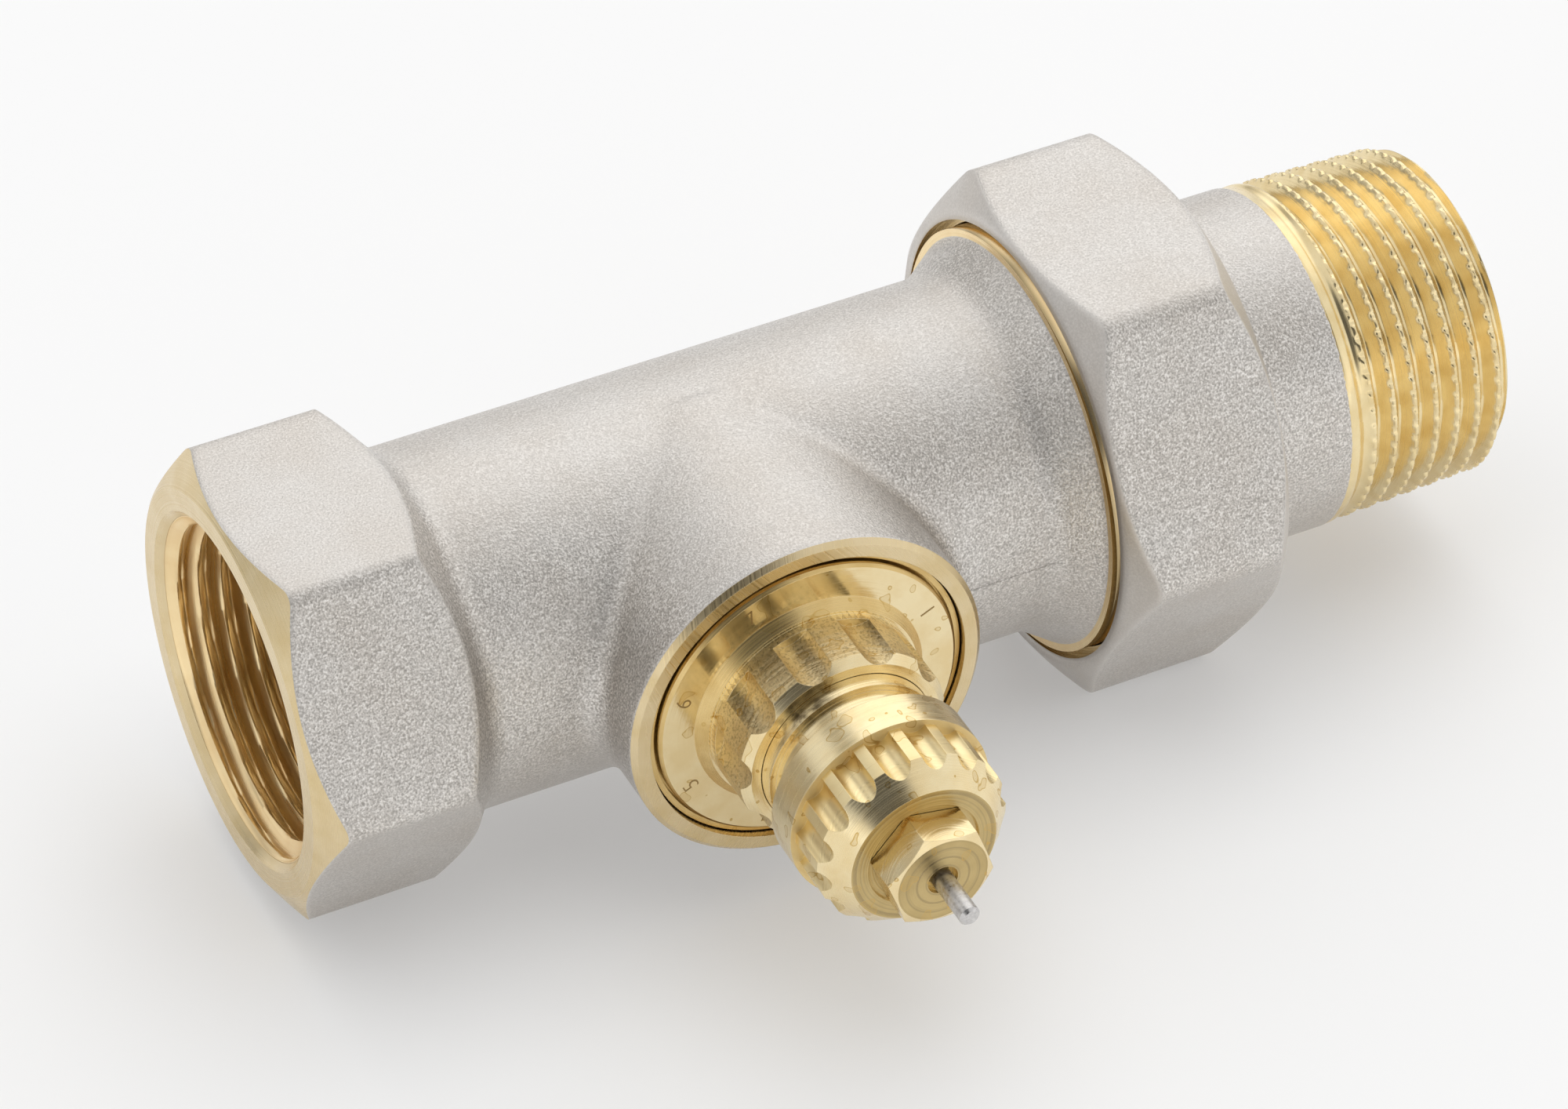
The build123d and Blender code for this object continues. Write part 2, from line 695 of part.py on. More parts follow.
def spindle():
    end_t = DISC_T - WASHER_THICKNESS - DISC_NUT_HEIGHT - FACE_GAP
    groove_t = SPINDLE_CLIP_T + SPINDLE_CLIP + TOUCH_GAP
    return along_insert(
        (0, end_t),
        (SPINDLE_TIP_R, end_t),
        (SPINDLE_TIP_R, HOLDER_T),
        (SPINDLE_R, HOLDER_T),
        (SPINDLE_R, SPINDLE_CLIP_T - TOUCH_GAP),
        (SPINDLE_GROOVE_R, SPINDLE_CLIP_T - TOUCH_GAP),
        (SPINDLE_GROOVE_R, groove_t),
        (SPINDLE_R, groove_t),
        (SPINDLE_R, groove_t + SPINDLE_LAND),
        (SPINDLE_TIP_R, groove_t + 2 * SPINDLE_LAND),
        (SPINDLE_TIP_R, SPINDLE_END_T),
        (0, SPINDLE_END_T),
    )


def spring_cap():
    outer = STEM_BORE_R - SLIP_GAP
    return insert_ring(SPINDLE_R + TOUCH_GAP, outer, CAP_T, CAP_T + CAP_THICKNESS)


def spindle_clip():
    inner = SPINDLE_GROOVE_R + TOUCH_GAP
    end = SPINDLE_CLIP_T + SPINDLE_CLIP
    return insert_ring(inner, SPINDLE_R + SPINDLE_CLIP_WIDTH, SPINDLE_CLIP_T, end)


def return_spring():
    """Round-wire spring between the spring seat and the cap."""
    length = CAP_T - SPRING_T - 2 * SPRING_WIRE - TOUCH_GAP
    path = Helix(length / SPRING_TURNS, length, SPRING_R)
    wire = sweep(Plane(path @ 0, z_dir=path % 0) * Circle(SPRING_WIRE), path, is_frenet=True)
    return insert_plane(SPRING_T + SPRING_WIRE) * wire


def spring_seat():
    outer = STEM_BORE_R - TOUCH_GAP
    return insert_ring(SPINDLE_R + SLIP_GAP, outer, SPRING_SEAT_T, SPRING_SEAT_T + SEAT_THICKNESS)


def seat_clip():
    inner = STEM_BORE_R - SEAT_CLIP_REACH
    outer = STEM_BORE_R + SEAT_CLIP_DEPTH - TOUCH_GAP
    return insert_ring(inner, outer, SEAT_CLIP_T, SEAT_CLIP_T + SEAT_CLIP)


def disc_holder():
    bore_r = SPINDLE_TIP_R + TOUCH_GAP
    return along_insert(
        (bore_r, DISC_BACK_T),
        (HOLDER_R - HOLDER_WALL, DISC_BACK_T),
        (HOLDER_R - HOLDER_WALL, DISC_BACK_T - HOLDER_SKIRT),
        (HOLDER_R, DISC_BACK_T - HOLDER_SKIRT),
        (HOLDER_R, HOLDER_T),
        (bore_r, HOLDER_T),
    )


def valve_disc():
    return insert_ring(SPINDLE_TIP_R + TOUCH_GAP, DISC_R, DISC_T, DISC_BACK_T)


def disc_washer():
    outer = SPINDLE_TIP_R + WASHER_WIDTH
    return insert_ring(SPINDLE_TIP_R + TOUCH_GAP, outer, DISC_T - WASHER_THICKNESS, DISC_T)


def disc_nut():
    end_t = DISC_T - WASHER_THICKNESS
    outline = RegularPolygon(SPINDLE_TIP_R + DISC_NUT_WALL, 6, major_radius=False)
    outline -= Circle(SPINDLE_TIP_R + TOUCH_GAP)
    return extrude(insert_plane(end_t - DISC_NUT_HEIGHT) * outline, DISC_NUT_HEIGHT)


def bush_o_ring():
    middle_t = SHOULDER_T + BUSH_RING_WIRE + TOUCH_GAP
    return o_ring(BUSH_BORE_R - BUSH_RING_WIRE - FACE_GAP, BUSH_RING_WIRE, middle_t)


def barrel_o_ring():
    middle_t = STEM_GROOVE_T + STEM_GROOVE_WIDTH / 2
    return o_ring(STEM_GROOVE_R + STEM_RING_WIRE + TOUCH_GAP / 2, STEM_RING_WIRE, middle_t)


PIECES = (
    valve_body,
    union_nut,
    tailpiece,
    insert_bush,
    bush_o_ring,
    setting_ring,
    insert_barrel,
    barrel_o_ring,
    throttle_sleeve,
    throttle_clip,
    gland_nut,
    gland_outer_o_ring,
    pin_o_ring,
    pin_guide,
    pressure_pin,
    spindle,
    spring_cap,
    spindle_clip,
    return_spring,
    spring_seat,
    seat_clip,
    disc_holder,
    valve_disc,
    disc_washer,
    disc_nut,
)

os.makedirs("parts", exist_ok=True)
for piece in PIECES:
    export_step(piece(), f"parts/{piece.__name__}.step")
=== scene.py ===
from math import cos, pi, radians, sin, sqrt

import bpy
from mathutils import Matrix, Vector


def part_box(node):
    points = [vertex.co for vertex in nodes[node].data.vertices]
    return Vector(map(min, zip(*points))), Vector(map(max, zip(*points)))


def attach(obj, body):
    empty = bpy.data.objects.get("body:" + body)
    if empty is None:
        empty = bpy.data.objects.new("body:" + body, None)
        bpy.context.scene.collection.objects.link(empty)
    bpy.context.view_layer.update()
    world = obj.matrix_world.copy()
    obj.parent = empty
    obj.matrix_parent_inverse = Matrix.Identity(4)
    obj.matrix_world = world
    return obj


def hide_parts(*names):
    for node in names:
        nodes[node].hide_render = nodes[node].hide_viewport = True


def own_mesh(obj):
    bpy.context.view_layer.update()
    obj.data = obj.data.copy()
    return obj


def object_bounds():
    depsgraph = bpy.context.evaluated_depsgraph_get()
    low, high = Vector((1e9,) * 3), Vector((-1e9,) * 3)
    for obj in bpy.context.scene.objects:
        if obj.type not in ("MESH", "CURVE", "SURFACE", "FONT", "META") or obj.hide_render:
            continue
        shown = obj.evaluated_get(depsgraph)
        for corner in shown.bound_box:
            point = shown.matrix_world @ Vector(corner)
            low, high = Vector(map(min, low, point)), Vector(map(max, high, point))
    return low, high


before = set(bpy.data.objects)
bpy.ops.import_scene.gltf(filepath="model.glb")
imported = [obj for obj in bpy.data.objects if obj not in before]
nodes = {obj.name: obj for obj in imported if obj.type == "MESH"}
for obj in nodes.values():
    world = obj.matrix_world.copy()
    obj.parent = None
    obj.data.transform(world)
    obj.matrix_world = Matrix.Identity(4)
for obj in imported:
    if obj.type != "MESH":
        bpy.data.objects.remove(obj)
cad_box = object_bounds()

MM = 0.001

# Places taken from the frame, in metres; t is counted from the flow axis along the insert
INSERT_X = (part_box("setting_ring")[0].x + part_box("setting_ring")[1].x) / 2
RIM_T = -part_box("valve_body")[0].y
RING_T = -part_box("setting_ring")[0].y
HEAD_T = -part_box("insert_barrel")[0].y
BODY_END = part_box("valve_body")[1].x
TAIL_START, TAIL_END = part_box("tailpiece")[0].x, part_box("tailpiece")[1].x
FLANGE_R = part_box("tailpiece")[1].z
NUT_X, NUT_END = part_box("union_nut")[0].x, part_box("union_nut")[1].x

# Sizes that the boxes don't give, in metres
PIPE_R = 16.62 * MM
TAIL_R = 17.0 * MM
TAIL_BORE_R = 12.25 * MM
NUT_SHOULDER_X = NUT_END - 3.7 * MM
THREAD_X = TAIL_END - 18.0 * MM

# Pipe thread, eleven to the inch
PITCH = 2.309 * MM
THREAD_HEIGHT = 1.479 * MM

# Limits between the finishes of one piece, in metres
FACE_EDGE = 0.02 * MM
MOUTH_R = PIPE_R + 0.8 * MM
MOUTH_END = 20.0 * MM
CHAMFER_END = 3.0 * MM
BODY_BORE_R = 12.5 * MM
BRANCH_START_T = 1.0 * MM
BRANCH_BORE_R = 16.3 * MM
RIM_START_T = RIM_T - 0.55 * MM
RIM_R = 18.0 * MM
SPIGOT_X = NUT_X - 0.7 * MM
SPIGOT_THREAD_X = NUT_X + 0.8 * MM
SPIGOT_THREAD_END = BODY_END - 1.0 * MM
NUT_THREAD_R = 21.9 * MM
NUT_THREAD_X = NUT_X + 0.01 * MM
HEAD_START_T = HEAD_T - 7.5 * MM
FLUTES_START_T = HEAD_T - 6.7 * MM
HEAD_FACE_T = HEAD_T - 1.0 * MM
DIAL_END_T = RIM_T + 1.1 * MM
RING_SIDE_T = RIM_T + 1.5 * MM

# Numbers on the dial: angles in degrees, sizes in metres
NUMBERS = range(1, 8)
FIRST_NUMBER_ANGLE = 26.0
NUMBER_STEP = 45.0
NUMBER_R = 13.3 * MM
NUMBER_SIZE = 2.3 * MM
NUMBER_THINNING = -0.03 * MM
NUMBER_RELIEF = 0.015 * MM
NUMBER_LIFT = 0.005 * MM

# Camera, found from the photograph
AZIMUTH = -26.269
ELEVATION = 41.087
DISTANCE = 0.656734
LOOK_AT = Vector((49.165, -15.050, 9.478)) * MM
LENS = 165.255
SENSOR = 36.0

# Studio: strengths of the dome, its spots, the lamp and the floor
FRONT_HORIZON = 1.22
BACK_HORIZON = 0.34
OVERHEAD = 0.88
GLOW_STRENGTH = 0.55
# Direction, then the cosines of the inner and the outer edge
GLOW = (0.48, 0.66, 0.52), 0.98, 0.62
CAMERA_SPOT = (-0.334, -0.677, 0.656), 0.93, 0.83
BACK_SPOT = (-0.30, 0.68, 0.67), 0.995, 0.972
# Each dim spot with the share of light that is left in it
DIM_SPOTS = (CAMERA_SPOT, 0.12), (BACK_SPOT, 0.50)
LAMP_PLACE = Vector((0.05, 0.05, 1.0))
LAMP_SIZE = 1.0
LAMP_POWER = 2.8
FLOOR_HALF = 4.0
FLOOR_LIFT = 0.25

# Tones, single or in pairs that a cloud or a speckle mixes
PALE_NICKEL = (0.68, 0.65, 0.615, 1)
WARM_NICKEL = (0.645, 0.605, 0.56, 1)
# Painted shade for the pits of the nickel's grain
PIT_SHADE_NICKEL = (0.30, 0.28, 0.255, 1)
# Painted highlight for the peaks of the nickel's grain
PEAK_HIGHLIGHT_NICKEL = (0.95, 0.92, 0.88, 1)
# Painted highlight for the rounded edges of the nickel
EDGE_HIGHLIGHT_NICKEL = (0.90, 0.87, 0.83, 1)
AMBER = (0.60, 0.40, 0.13, 1)
SOOT = (0.14, 0.10, 0.05, 1)
WHITE = (1, 1, 1, 1)
MATT_WHITE = (0.90, 0.90, 0.90, 1)
# Dark brass for tool rings and milled specks, and painted shade in the roots of the spigot's thread
DARK_BRASS_AND_ROOT_SHADE = (0.30, 0.23, 0.12, 1)
INSERT_TONES = (0.90, 0.76, 0.47, 1), (0.84, 0.67, 0.37, 1)
# Painted shade: a darker copy of the insert brass for the dark surroundings that the turned end faces
# mirror
FACED_SHADE_TONES = (0.59, 0.45, 0.21, 1), (0.51, 0.38, 0.17, 1)
MILLED_TONES = (0.80, 0.66, 0.39, 1), (0.72, 0.57, 0.31, 1)
BUSH_TONES = (0.76, 0.56, 0.25, 1), (0.66, 0.46, 0.18, 1)
FLUTE_TONES = (0.89, 0.74, 0.42, 1), (0.82, 0.65, 0.34, 1)
PORT_TONES = (0.76, 0.62, 0.38, 1), (0.71, 0.56, 0.31, 1)
BORE_TONES = (0.95, 0.75, 0.43, 1), (0.89, 0.67, 0.36, 1)
THREAD_TONES = (0.89, 0.74, 0.44, 1), (0.80, 0.63, 0.33, 1)
STEEL_TONES = (0.54, 0.525, 0.515, 1), (0.70, 0.685, 0.67, 1)
RUBBER_TONES = (0.010, 0.010, 0.011, 1), (0.03, 0.03, 0.03, 1)
PLASTIC_TONES = (0.72, 0.71, 0.67, 1), (0.82, 0.81, 0.78, 1)
# Painted shade: dark tones that stand in for the shade inside the stamped strokes of the dial numbers
NUMBER_SHADE_TONES = (0.30, 0.20, 0.08, 1), (0.45, 0.32, 0.14, 1)


# Small steps that the looks are made of


def put(tree, kind, inputs=None, **settings):
    """New node with its settings, and values or links on its inputs."""
    node = tree.nodes.new(kind)
    for key, value in settings.items():
        setattr(node, key, value)
    for key, value in (inputs or {}).items():
        if isinstance(value, bpy.types.NodeSocket):
            tree.links.new(value, node.inputs[key])
        else:
            node.inputs[key].default_value = value
    return node


def maths(tree, operation, first, second=0.0):
    return put(tree, "ShaderNodeMath", {0: first, 1: second}, operation=operation).outputs[0]


def dot(tree, first, second):
    inputs = {0: first, 1: second}
    return put(tree, "ShaderNodeVectorMath", inputs, operation="DOT_PRODUCT").outputs["Value"]


def place_mm(tree):
    """Place on the object at rest, in millimetres."""
    coords = put(tree, "ShaderNodeTexCoord").outputs["Object"]
    inputs = {0: coords, "Scale": 1 / MM}
    return put(tree, "ShaderNodeVectorMath", inputs, operation="SCALE").outputs[0]


def split_mm(tree):
    """The three coordinates of the place, in millimetres."""
    return put(tree, "ShaderNodeSeparateXYZ", {0: place_mm(tree)}).outputs


def noise(tree, vector, scale, detail=2.0, roughness=0.5):
    inputs = {"Vector": vector, "Scale": scale, "Detail": detail, "Roughness": roughness}
    return put(tree, "ShaderNodeTexNoise", inputs).outputs["Fac"]


def lines(tree, along, scale, detail=2.0):
    """Uneven lines that follow one coordinate, like the marks of a turning tool."""
    inputs = {"W": along, "Scale": scale, "Detail": detail}
    return put(tree, "ShaderNodeTexNoise", inputs, noise_dimensions="1D").outputs["Fac"]


def ramp(tree, value, low, high, start=0.0, end=1.0, shape="LINEAR"):
    """Value carried from one range to another, held at the ends."""
    inputs = {"Value": value, "From Min": low, "From Max": high, "To Min": start, "To Max": end}
    return put(tree, "ShaderNodeMapRange", inputs, interpolation_type=shape).outputs["Result"]


def band(tree, value, low, high, edge):
    """1 between two values, 0 outside, with a soft edge."""
    rise = ramp(tree, value, low - edge, low + edge)
    fall = ramp(tree, value, high - edge, high + edge, 1.0, 0.0)
    return maths(tree, "MULTIPLY", rise, fall)


def mix_colour(tree, share, first, second):
    node = put(tree, "ShaderNodeMix", data_type="RGBA")
    sockets = (node.inputs[0], node.inputs[6], node.inputs[7])
    for socket, value in zip(sockets, (share, first, second)):
        if isinstance(value, bpy.types.NodeSocket):
            tree.links.new(value, socket)
        else:
            socket.default_value = value
    return node.outputs[2]


def bump(tree, height, depth, normal=None):
    inputs = {"Height": height, "Distance": depth, "Strength": 1.0}
    if normal is not None:
        inputs["Normal"] = normal
    return put(tree, "ShaderNodeBump", inputs).outputs["Normal"]


def soft_edges(tree, radius):
    return put(tree, "ShaderNodeBevel", {"Radius": radius}, samples=4).outputs["Normal"]


def surface(tree, colour, roughness, normal, metallic=1.0):
    inputs = {"Base Color": colour, "Roughness": roughness, "Normal": normal, "Metallic": metallic}
    return put(tree, "ShaderNodeBsdfPrincipled", inputs).outputs[0]


def new_material(name, look, *values):
    """Material whose surface is made by a look function."""
    material = bpy.data.materials.new(name)
    material.use_nodes = True
    tree = material.node_tree
    tree.nodes.clear()
    put(tree, "ShaderNodeOutputMaterial", {"Surface": look(tree, *values)})
    return material


def from_insert(tree, x):
    return maths(tree, "SUBTRACT", x, INSERT_X / MM)


def turning_lines(tree, about_insert, per_mm):
    """Tool marks that run round the insert axis or the flow axis."""
    x, y, z = split_mm(tree)
    first, second, height = y, z, x
    if about_insert:
        first, second, height = from_insert(tree, x), z, y
    squares = [maths(tree, "POWER", value, 2.0) for value in (first, second)]
    radius = maths(tree, "SQRT", maths(tree, "ADD", *squares))
    along = maths(tree, "ADD", radius, maths(tree, "MULTIPLY", height, 0.7))
    return lines(tree, along, per_mm, 3.0)


def cloudy(tree, mm, tones):
    """Two tones that change over a few millimetres."""
    return mix_colour(tree, ramp(tree, noise(tree, mm, 0.32, 4.0), 0.38, 0.66), *tones)


# Looks of the metals, the rubber and the plastic


def die_seam(tree):
    """1 on the thin line that the forging dies leave between the branch and the union."""
    x, _, z = split_mm(tree)
    seam = maths(tree, "MULTIPLY", band(tree, z, -0.07, 0.07, 0.05), ramp(tree, x, 55.0, 66.0))
    return maths(tree, "MULTIPLY", seam, ramp(tree, x, 76.0, 77.0, 1.0, 0.0))


def nickel(tree, grain_depth, painted_grain_share):
    """Nickel plating over a blasted forging, with painted highlights on its rounded edges, painted
    shade in the pits and painted highlights on the peaks of its grain, and the seam of the dies.
    """
    mm = place_mm(tree)
    patches = noise(tree, mm, 0.12, 3.0)
    grain = noise(tree, mm, 4.6, 2.0, 0.6)
    fine = noise(tree, mm, 9.0, 2.0)
    facing = put(tree, "ShaderNodeTexCoord").outputs["Normal"]
    upward = put(tree, "ShaderNodeSeparateXYZ", {0: facing}).outputs["Z"]
    # Painted light: the grain's painted shade and highlights are strongest on surfaces facing sideways,
    # weaker on those facing up or down
    grain_light_by_facing = ramp(tree, upward, 0.75, 0.98, painted_grain_share, 0.4 * painted_grain_share)
    grain_light_by_facing = maths(tree, "MULTIPLY", grain_light_by_facing, ramp(tree, upward, -0.6, 0.1, 0.3, 1.0))
    colour = mix_colour(tree, ramp(tree, patches, 0.35, 0.65), WARM_NICKEL, PALE_NICKEL)
    # Painted shade in the grain's pits, then painted highlights on its peaks
    pit_shade = maths(tree, "MULTIPLY", grain_light_by_facing, ramp(tree, grain, 0.34, 0.54, 0.70, 0.0))
    colour = mix_colour(tree, pit_shade, colour, PIT_SHADE_NICKEL)
    peak_highlight = maths(tree, "MULTIPLY", grain_light_by_facing, ramp(tree, grain, 0.54, 0.68, 0.0, 0.85))
    colour = mix_colour(tree, peak_highlight, colour, PEAK_HIGHLIGHT_NICKEL)
    rounded = soft_edges(tree, 1.1 * MM)
    bend = dot(tree, rounded, put(tree, "ShaderNodeNewGeometry").outputs["Normal"])
    # Painted highlight along the edges, where the bevelled normal turns away from the face's own
    colour = mix_colour(tree, ramp(tree, bend, 0.80, 0.97, 0.6, 0.0), colour, EDGE_HIGHLIGHT_NICKEL)
    height = maths(tree, "ADD", grain, maths(tree, "MULTIPLY", fine, 0.3))
    height = maths(tree, "ADD", height, maths(tree, "MULTIPLY", die_seam(tree), 1.2))
    roughness = ramp(tree, fine, 0.3, 0.7, 0.34, 0.48)
    return surface(tree, colour, roughness, bump(tree, height, grain_depth, rounded))


def brass(tree, tones, about_insert, roughness, line_depth, per_mm=5.0, rings=0.0, grain=0.0):
    """Bare turned brass, cloudy between two tones; dark rings on faces, a grain where it was milled."""
    mm = place_mm(tree)
    marks = turning_lines(tree, about_insert, per_mm)
    colour = cloudy(tree, mm, tones)
    height = marks
    if rings:
        colour = mix_colour(tree, ramp(tree, marks, 0.32, 0.50, rings, 0.0), colour, DARK_BRASS_AND_ROOT_SHADE)
    if grain:
        specks = noise(tree, mm, 3.5, 3.0, 0.65)
        colour = mix_colour(tree, ramp(tree, specks, 0.36, 0.52, grain, 0.0), colour, DARK_BRASS_AND_ROOT_SHADE)
        height = maths(tree, "ADD", marks, specks)
    if about_insert:
        colour = stains(tree, mm, colour)
    rough = ramp(tree, marks, 0.3, 0.7, roughness - 0.05, roughness + 0.08)
    return surface(tree, colour, rough, bump(tree, height, line_depth, soft_edges(tree, 0.08 * MM)))


def stains(tree, mm, colour):
    """Amber rings left by dried drops, and soot in the gap above the setting ring."""
    x, y, z = split_mm(tree)
    drops = noise(tree, mm, 0.5, 1.0)
    colour = mix_colour(tree, ramp(tree, drops, 0.645, 0.66, 0.0, 0.25), colour, AMBER)
    colour = mix_colour(tree, band(tree, drops, 0.645, 0.660, 0.006), colour, AMBER)
    gap_low, gap_high = RING_T / MM + 0.05, RING_T / MM + 1.6
    gap = band(tree, maths(tree, "MULTIPLY", y, -1.0), gap_low, gap_high, 0.1)
    turn = maths(tree, "ARCTAN2", from_insert(tree, x), z)
    soot = maths(tree, "MULTIPLY", gap, band(tree, turn, -0.95, -0.30, 0.15))
    blotches = ramp(tree, noise(tree, mm, 0.9, 3.0), 0.40, 0.62, 0.0, 0.9)
    return mix_colour(tree, maths(tree, "MULTIPLY", soot, blotches), colour, SOOT)


def screwed_brass(tree):
    """Brass with the union thread drawn as a bump and painted shade in its roots, seen when the nut is
    undone.
    """
    x, y, z = split_mm(tree)
    turn = maths(tree, "DIVIDE", maths(tree, "ARCTAN2", z, y), 2 * pi)
    pitches = maths(tree, "DIVIDE", x, PITCH / MM)
    phase = maths(tree, "FRACT", maths(tree, "SUBTRACT", pitches, turn))
    ridge = maths(tree, "ABSOLUTE", maths(tree, "SUBTRACT", phase, 0.5))
    colour = cloudy(tree, place_mm(tree), BORE_TONES)
    # Painted shade in the thread's roots
    colour = mix_colour(tree, ramp(tree, ridge, 0.05, 0.25, 0.7, 0.0), colour, DARK_BRASS_AND_ROOT_SHADE)
    return surface(tree, colour, 0.26, bump(tree, ridge, 1.2 * MM))


def tail_finish(tree):
    """Plated barrel that ends at a slightly ragged edge where the thread was cut."""
    x = split_mm(tree)["X"]
    ragged = maths(tree, "MULTIPLY", noise(tree, place_mm(tree), 1.2, 3.0), 0.5)
    edge = THREAD_X / MM + 0.2
    bare = ramp(tree, maths(tree, "ADD", x, ragged), edge, edge + 0.04)
    plated = nickel(tree, 0.08 * MM, 1.0)
    cut = brass(tree, THREAD_TONES, False, 0.20, 0.008 * MM)
    return put(tree, "ShaderNodeMixShader", {0: bare, 1: plated, 2: cut}).outputs[0]


def steel(tree):
    """Ground steel with fine scratches."""
    scratches = noise(tree, place_mm(tree), 3.0, 4.0)
    marks = turning_lines(tree, True, 7.0)
    colour = mix_colour(tree, ramp(tree, scratches, 0.35, 0.65), *STEEL_TONES)
    roughness = ramp(tree, scratches, 0.3, 0.7, 0.25, 0.42)
    normal = bump(tree, marks, 0.008 * MM, soft_edges(tree, 0.06 * MM))
    return surface(tree, colour, roughness, normal)


def speckled(tree, tones, rough_low, rough_high, metallic):
    """Plain rubber, plastic or dark metal with a fine speckle; the dark metal colours the dial numbers
    as painted shade for their stamped strokes.
    """
    speckle = noise(tree, place_mm(tree), 3.0, 3.0)
    colour = mix_colour(tree, speckle, *tones)
    roughness = ramp(tree, speckle, 0.3, 0.7, rough_low, rough_high)
    return surface(tree, colour, roughness, bump(tree, speckle, 0.02 * MM), metallic)


NICKEL = new_material("blasted_nickel", nickel, 0.08 * MM, 1.0)
TURNED_NICKEL = new_material("turned_nickel", nickel, 0.015 * MM, 0.2)
BRASS = new_material("turned_brass", brass, INSERT_TONES, True, 0.22, 0.010 * MM)
DIAL_BRASS = new_material("polished_brass", brass, INSERT_TONES, True, 0.14, 0.003 * MM)
# End faces of the head and the gland nut, darkened with painted shade
FACED_SHADED_BRASS = new_material("faced_brass_painted_shade", brass, FACED_SHADE_TONES, True, 0.32, 0.050 * MM, 2.2, 0.55)
MILLED_BRASS = new_material("milled_brass", brass, MILLED_TONES, True, 0.34, 0.040 * MM, 2.6, 0.0, 0.6)
FLUTE_BRASS = new_material("fluted_brass", brass, FLUTE_TONES, True, 0.31, 0.010 * MM)
CUT_BRASS = new_material("cut_brass", brass, FLUTE_TONES, True, 0.62, 0.020 * MM)
SCREWED_BRASS = new_material("screwed_brass", screwed_brass)
BORE_BRASS = new_material("bore_brass", brass, BORE_TONES, False, 0.30, 0.010 * MM)
BUSH_BRASS = new_material("bush_brass", brass, BUSH_TONES, True, 0.28, 0.010 * MM)
PORT_BRASS = new_material("port_brass", brass, PORT_TONES, False, 0.28, 0.010 * MM)
TAIL = new_material("tail_finish", tail_finish)
STEEL = new_material("ground_steel", steel)
RUBBER = new_material("seal_rubber", speckled, RUBBER_TONES, 0.5, 0.7, 0.0)
PLASTIC = new_material("guide_plastic", speckled, PLASTIC_TONES, 0.4, 0.55, 0.0)
# Dial numbers, dark with painted shade for their stamped strokes
NUMBER_SHADE = new_material("number_painted_shade", speckled, NUMBER_SHADE_TONES, 0.4, 0.6, 1.0)


# Finishes on the solids


def finish_node(name, *materials, choose=None):
    """Materials on a CAD node, chosen for each face where there is more than one."""
    mesh = nodes[name].data
    mesh.materials.clear()
    for material in materials:
        mesh.materials.append(material)
    for face in mesh.polygons:
        face.material_index = choose(face) if choose else 0


def bare_on_body(face):
    """1 where the plating is cut away at the ports and the branch, 2 and 3 on the union spigot."""
    x, y, z = face.center
    radius = sqrt(y * y + z * z)
    branch_r = sqrt((x - INSERT_X) ** 2 + z * z)
    if x > SPIGOT_X and radius > BODY_BORE_R:
        threaded = SPIGOT_THREAD_X < x < SPIGOT_THREAD_END and abs(face.normal.x) < 0.3
        return 3 if threaded else 2
    inlet = x < FACE_EDGE or radius < MOUTH_R and x < MOUTH_END
    chamfer = face.normal.x < -0.5 and x < CHAMFER_END
    rim = -y > RIM_START_T and branch_r < RIM_R
    inside = radius < BODY_BORE_R or -y > BRANCH_START_T and branch_r < BRANCH_BORE_R
    return int(inlet or chamfer or rim or inside)


def finish_on_nut(face):
    """1 on the thread of the union nut, 2 on its turned ends."""
    x, y, z = face.center
    if sqrt(y * y + z * z) < NUT_THREAD_R and NUT_THREAD_X < x < NUT_SHOULDER_X:
        return 1
    return 2 if abs(face.normal.x) > 0.4 else 0


def finish_on_insert(face):
    """1 on the end faces of the head and the gland nut, 2 on the flutes, 3 on their shoulder."""
    t = -face.center.y
    if face.normal.y < -0.97 and t > HEAD_START_T:
        return 1 if t > HEAD_FACE_T else 3
    return 2 if abs(face.normal.y) < 0.3 and FLUTES_START_T < t < HEAD_FACE_T else 0


def finish_on_ring(face):
    """1 on the dial's face, 2 on the side of the fluted ring, 3 on the slope between them."""
    t, slope = -face.center.y, -face.normal.y
    if t < DIAL_END_T and slope > 0.5:
        return 1 if slope > 0.9 else 3
    return 2 if abs(slope) < 0.2 and t > RING_SIDE_T else 0


finish_node("valve_body", NICKEL, PORT_BRASS, BORE_BRASS, SCREWED_BRASS, choose=bare_on_body)
finish_node("union_nut", NICKEL, PORT_BRASS, TURNED_NICKEL, choose=finish_on_nut)
finish_node("setting_ring", BRASS, DIAL_BRASS, MILLED_BRASS, BUSH_BRASS, choose=finish_on_ring)
finish_node("insert_barrel", BRASS, FACED_SHADED_BRASS, FLUTE_BRASS, CUT_BRASS, choose=finish_on_insert)
finish_node("gland_nut", BRASS, FACED_SHADED_BRASS, BRASS, BRASS, choose=finish_on_insert)
finish_node("insert_bush", BUSH_BRASS)
for name in ("throttle_sleeve", "disc_holder", "disc_nut", "disc_washer", "spring_cap", "spring_seat"):
    finish_node(name, BRASS)
for name in ("pressure_pin", "spindle", "spindle_clip", "return_spring", "seat_clip", "throttle_clip"):
    finish_node(name, STEEL)
for name in ("bush_o_ring", "barrel_o_ring", "gland_outer_o_ring", "pin_o_ring", "valve_disc"):
    finish_node(name, RUBBER)
finish_node("pin_guide", PLASTIC)


# Pieces that the solids leave plain


def add_object(name, data):
    thing = bpy.data.objects.new(name, data)
    bpy.context.scene.collection.objects.link(thing)
    return thing


